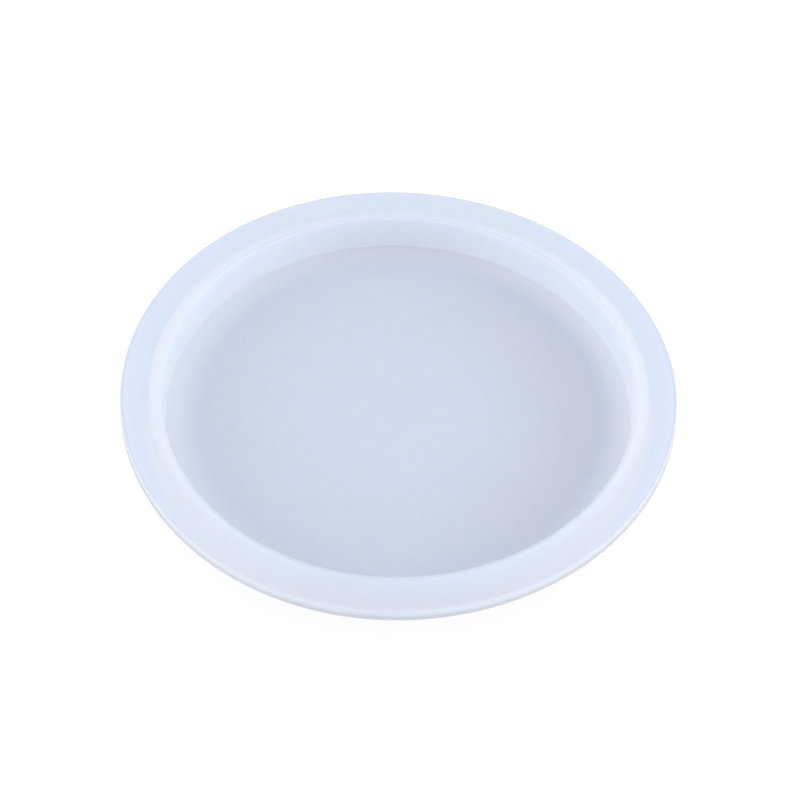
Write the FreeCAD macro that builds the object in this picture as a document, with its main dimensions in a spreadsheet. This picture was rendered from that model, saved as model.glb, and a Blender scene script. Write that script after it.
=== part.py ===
"""Round open-top casting mould in silicone: a shallow cavity with a raised lip inside a flat lifting rim.

The real object is one soft moulding. It is drawn here as four zones that meet face to face: the disc under the
cavity, the ring of wall on it, the ring of lip on that, and the flat rim round the lip. Each zone is a simple
solid, so the cavity and the finger gap under the rim both stay open.

The frame is millimetres, +Z up. The origin is the centre of the face that the mould rests on.
"""

import FreeCAD
import Part
import os
import sys

import Sketcher

# Driving dimensions: alias, millimetres, what it measures.
DIMENSIONS = [
    ("rim_diameter", 120.0, "outside of the flat rim"),
    ("rim_thickness", 2.95, "top of the flat rim to its underside"),
    ("mouth_diameter", 102.3, "cavity at its mouth, before the lip is rounded"),
    ("cavity_draft", 0.55, "how much smaller the cavity's radius is at its floor"),
    ("wall_thickness", 2.85, "mouth of the cavity to the outside of the wall"),
    ("floor_thickness", 2.4, "cavity floor to the resting face"),
    ("rim_height", 9.7, "resting face to the top of the flat rim"),
    ("lip_rise", 1.13, "crest of the lip over the flat rim, before it is rounded"),
    ("lip_round", 0.6, "radius along the crest of the lip"),
    ("edge_round", 0.6, "radius along the outer edges of the rim and the base"),
]

# Lengths that the zones share, worked out from the driving dimensions.
RIM_RADIUS = "(Sizes.rim_diameter / 2)"
MOUTH_RADIUS = "(Sizes.mouth_diameter / 2)"
FLOOR_RADIUS = f"({MOUTH_RADIUS} - Sizes.cavity_draft)"
WALL_RADIUS = f"({MOUTH_RADIUS} + Sizes.wall_thickness)"
RIM_UNDERSIDE = "(Sizes.rim_height - Sizes.rim_thickness)"
CREST_HEIGHT = "(Sizes.rim_height + Sizes.lip_rise)"
CAVITY_DEPTH = f"({CREST_HEIGHT} - Sizes.floor_thickness)"
# The cavity's side leans, so the radius where wall and lip meet lies between those of the floor and the mouth.
JOIN_RADIUS = f"({MOUTH_RADIUS} - Sizes.cavity_draft * ({CREST_HEIGHT} - {RIM_UNDERSIDE}) / {CAVITY_DEPTH})"

# The sketcher's numbers: the origin point's owner, and the ends and centre of a line or circle.
ORIGIN = -1
FIRST_END = 1
LAST_END = 2
CENTRE = 3

# How near, in millimetres, an edge must lie to its worked-out place to be the one meant.
SAME_PLACE = 1e-6


def add_sheet(document):
    """The spreadsheet of driving dimensions: one row each, with the alias that the expressions use."""
    sheet = document.addObject("Spreadsheet::Sheet", "Sizes")
    for row, (alias, millimetres, meaning) in enumerate(DIMENSIONS, start=1):
        sheet.set(f"A{row}", alias)
        sheet.set(f"B{row}", str(millimetres))
        sheet.set(f"C{row}", meaning)
        sheet.setAlias(f"B{row}", alias)
    document.recompute()
    return sheet


def add_body(document, name):
    """An empty body at the origin, labelled with the name of the zone."""
    body = document.addObject("PartDesign::Body", name)
    body.Label = name
    body.Placement = FreeCAD.Placement()
    return body


def add_sketch(body, name, role):
    """A sketch flat on one of the body's own origin planes."""
    plane = next(item for item in body.Origin.OriginFeatures if item.Role == role)
    sketch = body.newObject("Sketcher::SketchObject", name)
    sketch.AttachmentSupport = (plane, "")
    sketch.MapMode = "FlatFace"
    return sketch


def dimension(sketch, kind, constraint, name, expression):
    """Adds one dimension to a sketch and binds it to the spreadsheet."""
    index = sketch.addConstraint(Sketcher.Constraint(kind, *constraint, 1.0))
    sketch.renameConstraint(index, name)
    sketch.setExpression(f"Constraints.{name}", expression)


def add_ring(document, name, corners):
    """A ring: a straight-sided section, whose corners are (name, radius, height), turned once about Z."""
    body = add_body(document, name)
    sketch = add_sketch(body, f"{name}_section", "XZ_Plane")
    count = len(corners)
    # The section starts as any small loop, and its dimensions put each corner where it belongs.
    turns = [FreeCAD.Rotation(FreeCAD.Vector(0, 0, 1), 360.0 * i / count) for i in range(count)]
    start = [turn.multVec(FreeCAD.Vector(1, 0, 0)) for turn in turns]
    for i in range(count):
        sketch.addGeometry(Part.LineSegment(start[i], start[(i + 1) % count]))
    for i in range(count):
        joined = Sketcher.Constraint("Coincident", i, LAST_END, (i + 1) % count, FIRST_END)
        sketch.addConstraint(joined)
    for i, (corner, radius, height) in enumerate(corners):
        ends = (ORIGIN, FIRST_END, i, FIRST_END)
        dimension(sketch, "DistanceX", ends, f"{corner}_radius", radius)
        dimension(sketch, "DistanceY", ends, f"{corner}_height", height)
    turned = body.newObject("PartDesign::Revolution", f"{name}_turned")
    turned.Profile = sketch
    turned.ReferenceAxis = (sketch, ["V_Axis"])
    turned.Angle = 360.0
    sketch.Visibility = False
    document.recompute()
    return body


def add_disc(document, name, radius, thickness):
    """A disc standing on the resting face."""
    body = add_body(document, name)
    sketch = add_sketch(body, f"{name}_outline", "XY_Plane")
    sketch.addGeometry(Part.Circle(FreeCAD.Vector(), FreeCAD.Vector(0, 0, 1), 1.0))
    sketch.addConstraint(Sketcher.Constraint("Coincident", 0, CENTRE, ORIGIN, FIRST_END))
    dimension(sketch, "Radius", (0,), "outer_radius", radius)
    padded = body.newObject("PartDesign::Pad", f"{name}_padded")
    padded.Profile = sketch
    padded.setExpression("Length", thickness)
    sketch.Visibility = False
    document.recompute()
    return body


def round_edges(document, body, name, radius, places):
    """Rounds the circular edges of a body that lie at the given (radius, height) places."""
    base = body.Tip
    found = []
    for number, edge in enumerate(base.Shape.Edges, start=1):
        if not isinstance(edge.Curve, Part.Circle):
            continue
        for ring_radius, ring_height in places:
            same_radius = abs(edge.Curve.Radius - ring_radius) < SAME_PLACE
            same_height = abs(edge.Curve.Center.z - ring_height) < SAME_PLACE
            if same_radius and same_height:
                found.append(f"Edge{number}")
    if len(found) != len(places):
        sys.exit(f"{name} found {len(found)} of {len(places)} edges to round")
    rounded = body.newObject("PartDesign::Fillet", name)
    rounded.Base = (base, found)
    rounded.setExpression("Radius", radius)
    document.recompute()


def build_cavity_floor(document, sizes):
    """The disc under the cavity. Its top is the cavity's floor, and its lower edge is rounded."""
    body = add_disc(document, "cavity_floor", WALL_RADIUS, "Sizes.floor_thickness")
    wall_radius = sizes.mouth_diameter / 2 + sizes.wall_thickness
    round_edges(document, body, "base_edge", "Sizes.edge_round", [(wall_radius, 0.0)])
    return body


def build_cavity_wall(document):
    """The ring of wall from the floor disc up to the level of the rim's underside. Its inside leans outwards."""
    return add_ring(
        document,
        "cavity_wall",
        [
            ("inner_foot", FLOOR_RADIUS, "Sizes.floor_thickness"),
            ("outer_foot", WALL_RADIUS, "Sizes.floor_thickness"),
            ("outer_head", WALL_RADIUS, RIM_UNDERSIDE),
            ("inner_head", JOIN_RADIUS, RIM_UNDERSIDE),
        ],
    )


def build_pour_lip(document, sizes):
    """The ring on top of the wall. Its crest is rounded, and its top face falls away to the flat rim."""
    body = add_ring(
        document,
        "pour_lip",
        [
            ("inner_foot", JOIN_RADIUS, RIM_UNDERSIDE),
            ("outer_foot", WALL_RADIUS, RIM_UNDERSIDE),
            ("outer_head", WALL_RADIUS, "Sizes.rim_height"),
            ("crest", MOUTH_RADIUS, CREST_HEIGHT),
        ],
    )
    crest = (sizes.mouth_diameter / 2, sizes.rim_height + sizes.lip_rise)
    round_edges(document, body, "crest_edge", "Sizes.lip_round", [crest])
    return body


def build_lifting_rim(document, sizes):
    """The flat rim round the lip, which fingers lift and peel. Both of its outer edges are rounded."""
    body = add_ring(
        document,
        "lifting_rim",
        [
            ("inner_foot", WALL_RADIUS, RIM_UNDERSIDE),
            ("outer_foot", RIM_RADIUS, RIM_UNDERSIDE),
            ("outer_head", RIM_RADIUS, "Sizes.rim_height"),
            ("inner_head", WALL_RADIUS, "Sizes.rim_height"),
        ],
    )
    rim_radius = sizes.rim_diameter / 2
    underside = sizes.rim_height - sizes.rim_thickness
    outer_edges = [(rim_radius, underside), (rim_radius, sizes.rim_height)]
    round_edges(document, body, "rim_edges", "Sizes.edge_round", outer_edges)
    return body


def check(document, bodies):
    """Stops if any object failed to compute or any zone is not one sound solid."""
    for item in document.Objects:
        if "Invalid" in item.State or "Error" in item.State:
            sys.exit(f"{item.Label} failed: {item.State}")
    for body in bodies:
        shape = body.Shape
        if shape.isNull() or not shape.isValid() or len(shape.Solids) != 1:
            sys.exit(f"{body.Label} is not one valid solid")


def main():
    document = FreeCAD.newDocument("casting_mould")
    sizes = add_sheet(document)
    bodies = [
        build_cavity_floor(document, sizes),
        build_cavity_wall(document),
        build_pour_lip(document, sizes),
        build_lifting_rim(document, sizes),
    ]
    document.recompute()
    check(document, bodies)
    os.makedirs("parts", exist_ok=True)
    for body in bodies:
        body.Shape.exportStep(os.path.join("parts", f"{body.Label}.step"))
        box = body.Shape.optimalBoundingBox()
        print(f"{body.Label}: {body.Shape.Volume:.1f} mm3, z {box.ZMin:.3f} to {box.ZMax:.3f} mm")


main()
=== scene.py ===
import math

import bmesh
import bpy
from mathutils import Matrix, Vector


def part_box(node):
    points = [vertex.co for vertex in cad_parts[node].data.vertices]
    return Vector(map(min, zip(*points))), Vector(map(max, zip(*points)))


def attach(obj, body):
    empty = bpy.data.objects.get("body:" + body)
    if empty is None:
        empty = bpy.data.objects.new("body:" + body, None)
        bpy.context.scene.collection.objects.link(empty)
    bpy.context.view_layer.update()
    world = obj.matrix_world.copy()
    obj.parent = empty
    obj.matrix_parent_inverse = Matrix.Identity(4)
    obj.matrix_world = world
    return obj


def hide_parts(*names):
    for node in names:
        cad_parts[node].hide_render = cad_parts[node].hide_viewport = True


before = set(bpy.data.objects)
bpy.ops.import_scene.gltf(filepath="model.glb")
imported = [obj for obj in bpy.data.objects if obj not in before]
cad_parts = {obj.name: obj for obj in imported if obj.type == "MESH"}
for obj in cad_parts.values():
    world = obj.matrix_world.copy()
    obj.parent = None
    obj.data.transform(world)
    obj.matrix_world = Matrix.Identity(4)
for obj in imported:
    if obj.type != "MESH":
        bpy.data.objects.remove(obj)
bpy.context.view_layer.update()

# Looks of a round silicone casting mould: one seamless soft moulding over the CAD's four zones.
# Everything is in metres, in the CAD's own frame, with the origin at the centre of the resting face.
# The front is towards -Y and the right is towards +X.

MILLIMETRE = 0.001

# ------------------------------------------------------------------ the moulding's section

FLOOR_LOW, FLOOR_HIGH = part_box("cavity_floor")
_, LIP_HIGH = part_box("pour_lip")
RIM_LOW, RIM_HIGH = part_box("lifting_rim")

RESTING_FACE = FLOOR_LOW.z
CAVITY_FLOOR = FLOOR_HIGH.z
RIM_UNDERSIDE = RIM_LOW.z
RIM_TOP = RIM_HIGH.z
RIM_MIDDLE = (RIM_UNDERSIDE + RIM_TOP) / 2
LIP_TOP = LIP_HIGH.z
WALL_RADIUS = LIP_HIGH.x
RIM_RADIUS = RIM_HIGH.x

# Three lengths that no box shows: the wall's thickness at the mouth, how far the cavity's side leans, and how
# far above the rounded crest the lip's two faces would meet.
WALL_THICKNESS = 2.85 * MILLIMETRE
CAVITY_DRAFT = 0.55 * MILLIMETRE
CREST_LOSS = 0.26 * MILLIMETRE
MOUTH_RADIUS = WALL_RADIUS - WALL_THICKNESS
CAVITY_RADIUS = MOUTH_RADIUS - CAVITY_DRAFT
CREST = LIP_TOP + CREST_LOSS

# The roundings of the section's corners.
FOOT_ROUND = 0.22 * MILLIMETRE
LIP_ROUND = 0.6 * MILLIMETRE
VALLEY_ROUND = 2.0 * MILLIMETRE
RIM_EDGE_ROUND = 0.6 * MILLIMETRE
THROAT_ROUND = 0.8 * MILLIMETRE
BASE_ROUND = 0.6 * MILLIMETRE

# How finely the moulding is divided: round the ring, round a corner of the section, and along its flat runs.
RING_STEPS = 288
ARC_STEPS = 6
FLAT_STEP = 1.2 * MILLIMETRE
# A section point nearer to the axis than this makes one vertex instead of a ring.
ON_AXIS = 1e-9

# Soft silicone doesn't lie quite round: it stands a little three-cornered.
CORNERS = 3
OUT_OF_ROUND = 0.0039
CORNER_TURN = 0.31
# The corners would carry the rim past the solids' box on two sides, so the whole ring lies that much aside.
ASIDE_X = -OUT_OF_ROUND * RIM_RADIUS * math.cos(CORNER_TURN)
ASIDE_Y = OUT_OF_ROUND * RIM_RADIUS * math.sin(CORNER_TURN)
# The rim is also a little wavy, less and less towards the middle.
RIM_WAVE = 0.03 * MILLIMETRE
RIM_WAVE_COUNT = 2
RIM_WAVE_TURN = 0.6
RIM_WAVE_FADING = 4
# At the front the lip runs out into the rim in one soft sweep, with hardly a crease.
SWEEP_RISE = 0.2 * MILLIMETRE
SWEEP_REACH = 1.4 * MILLIMETRE


def tangent_arc(before, corner, after, radius):
    """Points of the arc that rounds one corner of a section."""
    to_before = (before - corner).normalized()
    to_after = (after - corner).normalized()
    half = to_before.angle(to_after) / 2
    centre = corner + (to_before + to_after).normalized() * (radius / math.sin(half))
    start = corner + to_before * (radius / math.tan(half)) - centre
    turn = math.pi - 2 * half
    if start.x * to_before.y - start.y * to_before.x > 0:
        turn = -turn
    points = []
    for step in range(ARC_STEPS + 1):
        angle = turn * step / ARC_STEPS
        cos, sin = math.cos(angle), math.sin(angle)
        points.append(centre + Vector((start.x * cos - start.y * sin, start.x * sin + start.y * cos)))
    return points


def rounded_section(corners):
    """The section's outline, with its flat runs divided. Each corner is (radius, height, rounding)."""
    places = [Vector((radius, height)) for radius, height, _ in corners]
    outline = [places[0]]
    for i in range(1, len(corners) - 1):
        outline += tangent_arc(places[i - 1], places[i], places[i + 1], corners[i][2])
    outline.append(places[-1])
    divided = [outline[0]]
    for point in outline[1:]:
        last = divided[-1]
        pieces = max(1, math.ceil((point - last).length / FLAT_STEP))
        divided += [last.lerp(point, piece / pieces) for piece in range(1, pieces + 1)]
    return divided


def mould_section():
    """From the middle of the cavity floor, over the lip and the rim, and back underneath to the middle."""
    return rounded_section(
        [
            (0.0, CAVITY_FLOOR, 0.0),
            (CAVITY_RADIUS, CAVITY_FLOOR, FOOT_ROUND),
            (MOUTH_RADIUS, CREST, LIP_ROUND),
            (WALL_RADIUS, RIM_TOP, VALLEY_ROUND),
            (RIM_RADIUS, RIM_TOP, RIM_EDGE_ROUND),
            (RIM_RADIUS, RIM_UNDERSIDE, RIM_EDGE_ROUND),
            (WALL_RADIUS, RIM_UNDERSIDE, THROAT_ROUND),
            (WALL_RADIUS, RESTING_FACE, BASE_ROUND),
            (0.0, RESTING_FACE, 0.0),
        ]
    )


def settled(radius, height, angle):
    """Where a point of the turned section really lies on the soft moulding."""
    spread = radius * (1 + OUT_OF_ROUND * math.cos(CORNERS * angle - CORNER_TURN))
    wave = math.cos(RIM_WAVE_COUNT * angle + RIM_WAVE_TURN) - 1
    lift = RIM_WAVE * wave * (radius / RIM_RADIUS) ** RIM_WAVE_FADING
    if height > RIM_MIDDLE:
        frontness = max(0.0, -math.sin(angle)) ** 2
        lift += SWEEP_RISE * frontness * math.exp(-abs(radius - WALL_RADIUS) / SWEEP_REACH)
    lift *= min(1.0, height / RIM_UNDERSIDE)
    return Vector((spread * math.cos(angle) + ASIDE_X, spread * math.sin(angle) + ASIDE_Y, height + lift))


def link_mesh(name, mesh):
    """Puts a finished bmesh into the scene as a smooth object."""
    data = bpy.data.meshes.new(name)
    mesh.to_mesh(data)
    mesh.free()
    data.shade_smooth()
    thing = bpy.data.objects.new(name, data)
    bpy.context.scene.collection.objects.link(thing)
    return thing


def build_mould():
    """The whole moulding as one closed mesh, turned from its section."""
    mesh = bmesh.new()
    rings = []
    for point in mould_section():
        count = 1 if point.x < ON_AXIS else RING_STEPS
        angles = [math.tau * i / count for i in range(count)]
        rings.append([mesh.verts.new(settled(point.x, point.y, angle)) for angle in angles])
    for ring, following in zip(rings, rings[1:]):
        for i in range(RING_STEPS):
            j = (i + 1) % RING_STEPS
            if len(ring) == 1:
                mesh.faces.new((ring[0], following[i], following[j]))
            elif len(following) == 1:
                mesh.faces.new((ring[i], following[0], ring[j]))
            else:
                mesh.faces.new((ring[i], following[i], following[j], ring[j]))
    bmesh.ops.recalc_face_normals(mesh, faces=mesh.faces)
    return link_mesh("silicone_moulding", mesh)


# ------------------------------------------------------------------ materials

# The Mix node's colour sockets: its two inputs and its result.
MIX_FIRST, MIX_SECOND, MIX_RESULT = 6, 7, 2
NOISE_DETAIL = 3.0
WHITE = (1.0, 1.0, 1.0, 1.0)


class Nodes:
    """Short names for adding and joining the nodes of one material."""

    def __init__(self, name):
        self.material = bpy.data.materials.new(name)
        self.material.use_nodes = True
        self.tree = self.material.node_tree
        self.shader = self.tree.nodes["Principled BSDF"]

    def add(self, kind, **settings):
        node = self.tree.nodes.new(kind)
        for name, value in settings.items():
            setattr(node, name, value)
        return node

    def join(self, output, socket):
        self.tree.links.new(output, socket)

    def put(self, value, socket):
        """Joins another node's output to the socket, or sets the socket to a plain value."""
        if isinstance(value, bpy.types.NodeSocket):
            self.join(value, socket)
        else:
            socket.default_value = value

    def set_shader(self, settings):
        """Sets the shader's own sockets to values that are the same all over."""
        for name, value in settings.items():
            self.shader.inputs[name].default_value = value

    def parts(self, vector):
        """The X, Y and Z of a vector."""
        node = self.add("ShaderNodeSeparateXYZ")
        self.join(vector, node.inputs[0])
        return node.outputs

    def math(self, operation, first, second=0.0):
        node = self.add("ShaderNodeMath", operation=operation)
        self.put(first, node.inputs[0])
        self.put(second, node.inputs[1])
        return node.outputs[0]

    def plus(self, first, second):
        return self.math("ADD", first, second)

    def minus(self, first, second):
        return self.math("SUBTRACT", first, second)

    def times(self, first, second):
        return self.math("MULTIPLY", first, second)

    def over(self, first, second):
        return self.math("DIVIDE", first, second)

    def power(self, first, second):
        return self.math("POWER", first, second)

    def larger(self, first, second):
        return self.math("MAXIMUM", first, second)

    def exceeds(self, value, limit):
        """1 where the value is more than the limit, and 0 elsewhere."""
        return self.math("GREATER_THAN", value, limit)

    def moved(self, amount, start, shift):
        """The start where the amount is 0, and further on by the shift where it is 1."""
        return self.plus(self.times(amount, shift), start)

    def mix(self, factor, first, second):
        node = self.add("ShaderNodeMix", data_type="RGBA")
        self.put(factor, node.inputs["Factor"])
        self.put(first, node.inputs[MIX_FIRST])
        self.put(second, node.inputs[MIX_SECOND])
        return node.outputs[MIX_RESULT]

    def ramp(self, value, start, end):
        """0 before the start and 1 past the end, smooth between. The end may be the lower of the two."""
        node = self.add("ShaderNodeMapRange", interpolation_type="SMOOTHSTEP")
        for name, setting in (("Value", value), ("From Min", start), ("From Max", end)):
            self.put(setting, node.inputs[name])
        return node.outputs["Result"]

    def noise(self, place, scale, detail=NOISE_DETAIL):
        node = self.add("ShaderNodeTexNoise")
        node.inputs["Scale"].default_value = scale
        node.inputs["Detail"].default_value = detail
        self.join(place, node.inputs["Vector"])
        return node.outputs["Fac"]


# The silicone's colours, zone by zone, with painted light and painted shade in most of them. SIDE is on the
# left and on the right.
RIM_COLOUR = (0.626, 0.698, 0.816, 1.0)
# Painted light: the rim paler on the left and right, where the side softboxes fall.
SIDE_RIM_PAINTED_LIGHT_COLOUR = (0.644, 0.723, 0.855, 1.0)
# Painted shade: the rim greyer at the very front.
FRONT_RIM_PAINTED_SHADE_COLOUR = (0.620, 0.660, 0.750, 1.0)
# Painted light on the lip's top face, strongest at the sides.
LIP_PAINTED_LIGHT_COLOUR = (0.700, 0.746, 0.834, 1.0)
# Painted shade over the lip's rounded crest, darkest at the front.
CREST_PAINTED_SHADE_COLOUR = (0.615, 0.655, 0.760, 1.0)
SIDE_CREST_PAINTED_SHADE_COLOUR = (0.664, 0.700, 0.796, 1.0)
FRONT_CREST_PAINTED_SHADE_COLOUR = (0.545, 0.585, 0.690, 1.0)
# Painted light on the cavity's wall, a little less of it on the left.
WALL_PAINTED_LIGHT_COLOUR = (0.737, 0.789, 0.878, 1.0)
LEFT_WALL_PAINTED_LIGHT_COLOUR = (0.695, 0.758, 0.856, 1.0)
# Painted shade on the rim's outer edge, at the back, the sides and the front.
EDGE_PAINTED_SHADE_COLOUR = (0.590, 0.602, 0.645, 1.0)
SIDE_EDGE_PAINTED_SHADE_COLOUR = (0.530, 0.575, 0.670, 1.0)
FRONT_EDGE_PAINTED_SHADE_COLOUR = (0.628, 0.668, 0.755, 1.0)
# Painted shade under the rim and low down on the outside.
UNDERSIDE_PAINTED_SHADE_COLOUR = (0.320, 0.335, 0.365, 1.0)
FLOOR_MIDDLE_COLOUR = (0.580, 0.643, 0.762, 1.0)
# Painted shade: the darker ring of the cavity floor, darker still on the right.
FLOOR_RING_PAINTED_SHADE_COLOUR = (0.566, 0.622, 0.738, 1.0)
RIGHT_FLOOR_RING_PAINTED_SHADE_COLOUR = (0.535, 0.585, 0.700, 1.0)
# Painted light at the foot of the wall, strongest on the left and right.
FOOT_PAINTED_LIGHT_COLOUR = (0.630, 0.665, 0.730, 1.0)
SIDE_FOOT_PAINTED_LIGHT_COLOUR = (0.724, 0.765, 0.844, 1.0)
# A painted highlight along the floor's corner with the wall.
CORNER_PAINTED_HIGHLIGHT_COLOUR = (0.775, 0.812, 0.888, 1.0)
PALE_SPECK_COLOUR = (0.92, 0.92, 0.92, 1.0)
DARK_SPECK_COLOUR = (0.25, 0.26, 0.30, 1.0)

# Painted shade: the cavity floor darkens outwards between these radii. Painted highlight: its corner with the
# wall is pale.
FLOOR_DARKENS = (12.0 * MILLIMETRE, 38.0 * MILLIMETRE)
CORNER_PALES = (CAVITY_RADIUS - 0.8 * MILLIMETRE, CAVITY_RADIUS - 0.2 * MILLIMETRE)
# Where the painted light on the foot of the wall starts, with its shift outwards on the right. On the left it
# shifts inwards.
FOOT_START = (CAVITY_RADIUS - 8.0 * MILLIMETRE, 1.0 * MILLIMETRE)
FOOT_END = CAVITY_RADIUS - 0.5 * MILLIMETRE
# How strong the foot's painted light is, and what the front adds.
FOOT_STRENGTH = (1.0, -0.5)

# The painted light on the lip's top face is palest up to one radius and has run out at the other. Each has
# its shift at the front.
LIP_PALEST = (WALL_RADIUS - 0.1 * MILLIMETRE, 3.0 * MILLIMETRE)
LIP_RUN_OUT = (WALL_RADIUS + 0.5 * MILLIMETRE, 8.0 * MILLIMETRE)
# The power by which it fades from the sides to the back, and what the front half adds to that power.
LIP_FADING = (2.0, -1.0)
# The rim's painted shade, greyer, at the very front.
FRONT_RIM_BAND = (53.0 * MILLIMETRE, 58.0 * MILLIMETRE)

# The crest's painted shade has run out at one radius, which also has a shift at the front, and is full at the
# other.
CREST_RUN_OUT = (MOUTH_RADIUS + 0.8 * MILLIMETRE, 0.35 * MILLIMETRE)
CREST_FULL = MOUTH_RADIUS + 0.4 * MILLIMETRE
# Inside the crest's edge, a surface has the wall's painted light once its normal's Z has come down this far.
WALL_FACING = (0.7, 0.2)
# The painted shade of the rim's outer edge comes in between these radii.
EDGE_BAND = (RIM_RADIUS - 0.9 * MILLIMETRE, RIM_RADIUS - 0.4 * MILLIMETRE)
# Between these heights a surface comes down to the cavity floor's colours.
FLOOR_HEIGHTS = (CAVITY_FLOOR + 0.4 * MILLIMETRE, CAVITY_FLOOR + 0.2 * MILLIMETRE)

# Below the top of the rim the outside is shaded. Each value has what the sides add to it.
OUTSIDE_RADIUS = WALL_RADIUS - 1.5 * MILLIMETRE
SHADE_START = (RIM_TOP - 1.1 * MILLIMETRE, 0.8 * MILLIMETRE)
SHADE_FULL = (RIM_TOP - 2.0 * MILLIMETRE, 0.9 * MILLIMETRE)
SHADE_DEPTH = (0.35, 0.15)
# A surface is wholly shaded once its normal's Z has come down this far.
DOWNWARD_FACING = (-0.05, -0.4)

# How closely a colour keeps to its direction: the power that the direction is raised to.
RIM_SIDE_FOCUS = 2.0
RIM_FRONT_FOCUS = 5.0
CREST_SIDE_FOCUS = 4.0
EDGE_SIDE_FOCUS = 2.0
SHADE_SIDE_FOCUS = 4.0

# Dust: cells to the metre, the reach of a speck in its cell, and how few of the cells have one.
SPECK_CELLS = 90.0
SPECK_REACH = (0.016, 0.008)
SPECK_RARITY = 0.94
SPECK_STRENGTH = 0.6
DARK_SPECK_SHARE = 0.5

# Cloudiness from broad to fine: how many to the metre, and how much each counts.
CLOUD_SCALE = 45.0
MOTTLE_SCALE = 400.0
MOTTLE_WEIGHT = 1.8
GRAIN_SCALE = 2600.0
GRAIN_DETAIL = 2.0
GRAIN_WEIGHT = 3.2
# The sum of the three from which the silicone begins to pale, and how quickly it does.
PATCHY_LEAST = 1.0
PATCHY_STRENGTH = 0.0375

# Satin all over, with what the matte cavity floor and the clouds add.
SATIN_ROUGHNESS = 0.4
MATTE_ROUGHNESS = 0.12
CLOUD_ROUGHNESS = 0.1
MATTE_HEIGHTS = (CAVITY_FLOOR + 0.3 * MILLIMETRE, CAVITY_FLOOR + 0.05 * MILLIMETRE)
BUMP_STRENGTH = 0.12
BUMP_DISTANCE = 0.05 * MILLIMETRE
SILICONE_SHADER = {
    "IOR": 1.41,
    "Subsurface Weight": 0.8,
    "Subsurface Radius": (0.8, 0.9, 1.0),
    "Subsurface Scale": 1.5 * MILLIMETRE,
}

TABLE_NOISE_SCALE = 30.0
TABLE_DARK = (0.16, 0.16, 0.16, 1.0)
TABLE_PALE = (0.18, 0.18, 0.18, 1.0)
TABLE_SHADER = {
    "Roughness": 0.9,
    "Specular IOR Level": 0.0,
    "Emission Color": WHITE,
    "Emission Strength": 0.87,
}


def section_place(nodes, x, y):
    """Where a surface point lies on the turned section, with the three-cornered shape taken out again.

    Gives its radius, how far it lies to the right (-1 to 1), and how far to the front (0 to 1).
    """
    x = nodes.minus(x, ASIDE_X)
    y = nodes.minus(y, ASIDE_Y)
    across = nodes.math("SQRT", nodes.plus(nodes.power(x, 2.0), nodes.power(y, 2.0)))
    turn = nodes.minus(nodes.times(nodes.math("ARCTAN2", y, x), CORNERS), CORNER_TURN)
    spread = nodes.moved(nodes.math("COSINE", turn), 1.0, OUT_OF_ROUND)
    rightness = nodes.over(x, across)
    frontness = nodes.larger(nodes.over(nodes.times(y, -1.0), across), 0.0)
    return nodes.over(across, spread), rightness, frontness


def floor_colour(nodes, across, rightness, frontness):
    """The cavity floor with painted shade, darkest some way in from the wall and mostly on the right, painted
    light at the foot, and a painted highlight in the corner.
    """
    ring = nodes.mix(nodes.larger(rightness, 0.0), FLOOR_RING_PAINTED_SHADE_COLOUR, RIGHT_FLOOR_RING_PAINTED_SHADE_COLOUR)
    colour = nodes.mix(nodes.ramp(across, *FLOOR_DARKENS), FLOOR_MIDDLE_COLOUR, ring)
    foot = nodes.ramp(across, nodes.moved(rightness, *FOOT_START), FOOT_END)
    foot = nodes.times(foot, nodes.moved(frontness, *FOOT_STRENGTH))
    painted_foot_light = nodes.mix(nodes.math("ABSOLUTE", rightness), FOOT_PAINTED_LIGHT_COLOUR, SIDE_FOOT_PAINTED_LIGHT_COLOUR)
    colour = nodes.mix(foot, colour, painted_foot_light)
    return nodes.mix(nodes.ramp(across, *CORNER_PALES), colour, CORNER_PAINTED_HIGHLIGHT_COLOUR)


def rim_colour(nodes, across, rightness, frontness):
    """The flat rim, with painted light on its left and right and painted shade at its very front, and the
    painted light on the lip's top face, which runs far out into the rim towards the front.
    """
    colour = nodes.mix(nodes.power(rightness, RIM_SIDE_FOCUS), RIM_COLOUR, SIDE_RIM_PAINTED_LIGHT_COLOUR)
    fading = nodes.moved(nodes.exceeds(frontness, 0.0), *LIP_FADING)
    pale = nodes.power(nodes.math("ABSOLUTE", rightness), fading)
    run_out, palest = nodes.moved(frontness, *LIP_RUN_OUT), nodes.moved(frontness, *LIP_PALEST)
    lip = nodes.times(nodes.ramp(across, run_out, palest), pale)
    colour = nodes.mix(lip, colour, LIP_PAINTED_LIGHT_COLOUR)
    painted_front_shade = nodes.times(nodes.power(frontness, RIM_FRONT_FOCUS), nodes.ramp(across, *FRONT_RIM_BAND))
    return nodes.mix(painted_front_shade, colour, FRONT_RIM_PAINTED_SHADE_COLOUR)


def with_crest_and_wall(nodes, colour, across, rightness, frontness, upward):
    """A colour with the painted shade of the lip's crest and the painted light on the cavity's wall, a little
    less of it on the left, laid over it.
    """
    inner = nodes.ramp(across, nodes.moved(frontness, *CREST_RUN_OUT), CREST_FULL)
    beside = nodes.power(rightness, CREST_SIDE_FOCUS)
    painted_crest_shade = nodes.mix(beside, CREST_PAINTED_SHADE_COLOUR, SIDE_CREST_PAINTED_SHADE_COLOUR)
    painted_crest_shade = nodes.mix(frontness, painted_crest_shade, FRONT_CREST_PAINTED_SHADE_COLOUR)
    colour = nodes.mix(inner, colour, painted_crest_shade)
    leftness = nodes.larger(nodes.times(rightness, -1.0), 0.0)
    wall = nodes.times(inner, nodes.ramp(upward, *WALL_FACING))
    return nodes.mix(wall, colour, nodes.mix(leftness, WALL_PAINTED_LIGHT_COLOUR, LEFT_WALL_PAINTED_LIGHT_COLOUR))


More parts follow.
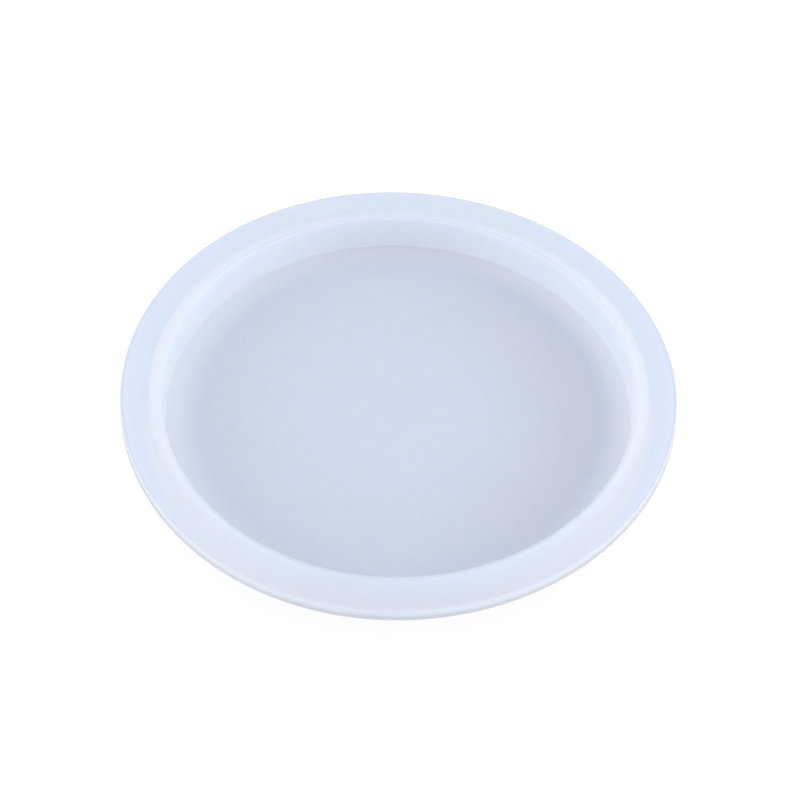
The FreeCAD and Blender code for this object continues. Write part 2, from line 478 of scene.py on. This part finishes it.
def outside_shade(nodes, across, rightness, height, upward):
    """How far a surface lies in the shade under the top of the rim."""
    beside = nodes.power(rightness, SHADE_SIDE_FOCUS)
    lower = nodes.ramp(height, nodes.moved(beside, *SHADE_START), nodes.moved(beside, *SHADE_FULL))
    lower = nodes.times(nodes.exceeds(across, OUTSIDE_RADIUS), lower)
    shaded = nodes.times(lower, nodes.moved(beside, *SHADE_DEPTH))
    return nodes.larger(nodes.ramp(upward, *DOWNWARD_FACING), shaded)


def zone_colour(nodes, x, y, height, upward):
    """The silicone's colour, bluer where it is thin, with painted light where the side softboxes fall on lip,
    wall and foot, and painted shade on the crest, the outer edge, the front and underneath.
    """
    across, rightness, frontness = section_place(nodes, x, y)
    colour = rim_colour(nodes, across, rightness, frontness)
    colour = with_crest_and_wall(nodes, colour, across, rightness, frontness, upward)
    painted_edge_shade = nodes.mix(nodes.power(rightness, EDGE_SIDE_FOCUS), EDGE_PAINTED_SHADE_COLOUR, SIDE_EDGE_PAINTED_SHADE_COLOUR)
    painted_edge_shade = nodes.mix(frontness, painted_edge_shade, FRONT_EDGE_PAINTED_SHADE_COLOUR)
    colour = nodes.mix(nodes.ramp(across, *EDGE_BAND), colour, painted_edge_shade)
    low = nodes.ramp(height, *FLOOR_HEIGHTS)
    colour = nodes.mix(low, colour, floor_colour(nodes, across, rightness, frontness))
    shade = outside_shade(nodes, across, rightness, height, upward)
    return nodes.mix(shade, colour, UNDERSIDE_PAINTED_SHADE_COLOUR)


def dusted(nodes, place, colour):
    """A few specks of dust, pale and dark, each about a quarter of a millimetre across."""
    cells = nodes.add("ShaderNodeTexVoronoi", voronoi_dimensions="2D")
    cells.inputs["Scale"].default_value = SPECK_CELLS
    nodes.join(place, cells.inputs["Vector"])
    chance = nodes.add("ShaderNodeSeparateColor")
    nodes.join(cells.outputs["Color"], chance.inputs[0])
    near = nodes.ramp(cells.outputs["Distance"], *SPECK_REACH)
    chosen = nodes.exceeds(chance.outputs["Red"], SPECK_RARITY)
    speck = nodes.times(nodes.times(near, chosen), SPECK_STRENGTH)
    pale = nodes.exceeds(chance.outputs["Green"], DARK_SPECK_SHARE)
    return nodes.mix(speck, colour, nodes.mix(pale, DARK_SPECK_COLOUR, PALE_SPECK_COLOUR))


def silicone():
    """Milky, faintly blue silicone: satin where it left a polished master, matte on the cavity floor."""
    nodes = Nodes("milky_silicone")
    place = nodes.add("ShaderNodeTexCoord").outputs["Object"]
    x, y, height = nodes.parts(place)
    upward = nodes.parts(nodes.add("ShaderNodeNewGeometry").outputs["Normal"])["Z"]
    # The base colour carries painted light and painted shade, zone by zone.
    colour = zone_colour(nodes, x, y, height, upward)

    cloud = nodes.noise(place, CLOUD_SCALE)
    mottle = nodes.noise(place, MOTTLE_SCALE)
    grain = nodes.noise(place, GRAIN_SCALE, GRAIN_DETAIL)
    patchy = nodes.plus(cloud, nodes.times(mottle, MOTTLE_WEIGHT))
    patchy = nodes.plus(patchy, nodes.times(grain, GRAIN_WEIGHT))
    paler = nodes.times(nodes.minus(patchy, PATCHY_LEAST), PATCHY_STRENGTH)
    colour = nodes.mix(paler, colour, WHITE)
    nodes.join(dusted(nodes, place, colour), nodes.shader.inputs["Base Color"])

    matte = nodes.ramp(height, *MATTE_HEIGHTS)
    rough = nodes.plus(nodes.times(matte, MATTE_ROUGHNESS), nodes.times(cloud, CLOUD_ROUGHNESS))
    nodes.join(nodes.plus(rough, SATIN_ROUGHNESS), nodes.shader.inputs["Roughness"])
    bump = nodes.add("ShaderNodeBump")
    bump.inputs["Strength"].default_value = BUMP_STRENGTH
    bump.inputs["Distance"].default_value = BUMP_DISTANCE
    nodes.join(grain, bump.inputs["Height"])
    nodes.join(bump.outputs["Normal"], nodes.shader.inputs["Normal"])
    nodes.set_shader(SILICONE_SHADER)
    return nodes.material


def studio_white():
    """The plain pale floor: a lit white table, so the mould throws hardly any shadow."""
    nodes = Nodes("studio_white")
    place = nodes.add("ShaderNodeTexCoord").outputs["Object"]
    tone = nodes.mix(nodes.noise(place, TABLE_NOISE_SCALE), TABLE_DARK, TABLE_PALE)
    nodes.join(tone, nodes.shader.inputs["Base Color"])
    nodes.set_shader(TABLE_SHADER)
    return nodes.material


# ------------------------------------------------------------------ floor, light and camera

FLOOR_SIDE = 4.0
FLOOR_SQUARES = 64
# The floor lies this far under the resting face, so that the two never share a plane.
FLOOR_GAP = 0.05 * MILLIMETRE
FLOOR_FLAT_RADIUS = 1.4
FLOOR_SWEEP_REACH = 0.6
FLOOR_SWEEP_RADIUS = 0.9

SKY_STRENGTH = 0.953
SOFTBOX_SIZE = 0.5
SOFTBOX_REACH = 0.869
SOFTBOX_HEIGHT = 0.233
# Each softbox: its name, which way it stands from the mould, and its power in watts.
SOFTBOXES = (
    ("softbox_left", (-1, 0), 2.1),
    ("softbox_right", (1, 0), 2.5),
    ("softbox_front", (0, -1), 0.4),
)

# The camera looks down from the front, rolled a little about its own line of sight.
CAMERA_ELEVATION = math.radians(49.0)
CAMERA_DISTANCE = 0.8612
CAMERA_LENS = 180.0
CAMERA_ROLL = math.radians(1.35)
CAMERA_SHIFT = (0.0015, -0.0130)


def build_floor():
    """A flat table that sweeps up a long way out, so that no horizon shows."""
    mesh = bmesh.new()
    squares = {"x_segments": FLOOR_SQUARES, "y_segments": FLOOR_SQUARES}
    bmesh.ops.create_grid(mesh, size=FLOOR_SIDE / 2, **squares)
    for vertex in mesh.verts:
        outwards = min(max(0.0, vertex.co.length - FLOOR_FLAT_RADIUS), FLOOR_SWEEP_REACH)
        vertex.co.z = RESTING_FACE - FLOOR_GAP + outwards**2 / (2 * FLOOR_SWEEP_RADIUS)
    return link_mesh("studio_floor", mesh)


def add_softbox(name, way, power):
    """A square area light that faces the mould."""
    place = Vector((way[0] * SOFTBOX_REACH, way[1] * SOFTBOX_REACH, SOFTBOX_HEIGHT))
    data = bpy.data.lights.new(name, "AREA")
    data.size = SOFTBOX_SIZE
    data.energy = power
    light = bpy.data.objects.new(name, data)
    light.location = place
    light.rotation_euler = (-place).to_track_quat("-Z", "Y").to_euler()
    bpy.context.scene.collection.objects.link(light)


def light_studio():
    """An even white sky, with a softbox on either side and a faint one in front."""
    world = bpy.data.worlds.new("studio")
    world.use_nodes = True
    background = world.node_tree.nodes["Background"]
    background.inputs["Color"].default_value = WHITE
    background.inputs["Strength"].default_value = SKY_STRENGTH
    bpy.context.scene.world = world
    for name, way, power in SOFTBOXES:
        add_softbox(name, way, power)


def add_camera():
    """Aims the camera at the middle of the mould's mouth."""
    data = bpy.data.cameras.new("camera")
    data.lens = CAMERA_LENS
    data.shift_x, data.shift_y = CAMERA_SHIFT
    camera = bpy.data.objects.new("camera", data)
    bpy.context.scene.collection.objects.link(camera)
    aim = Vector((0, 0, LIP_TOP))
    away = Vector((0, -math.cos(CAMERA_ELEVATION), math.sin(CAMERA_ELEVATION)))
    tilt = Matrix.Rotation(math.pi / 2 - CAMERA_ELEVATION, 4, "X") @ Matrix.Rotation(CAMERA_ROLL, 4, "Z")
    camera.matrix_world = Matrix.Translation(aim + away * CAMERA_DISTANCE) @ tilt
    bpy.context.scene.camera = camera


def main():
    bpy.context.scene.view_settings.view_transform = "Standard"
    mould = build_mould()
    mould.data.materials.append(silicone())
    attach(mould, "root")
    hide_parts("cavity_floor", "cavity_wall", "pour_lip", "lifting_rim")
    floor = build_floor()
    floor.data.materials.append(studio_white())
    light_studio()
    add_camera()


main()
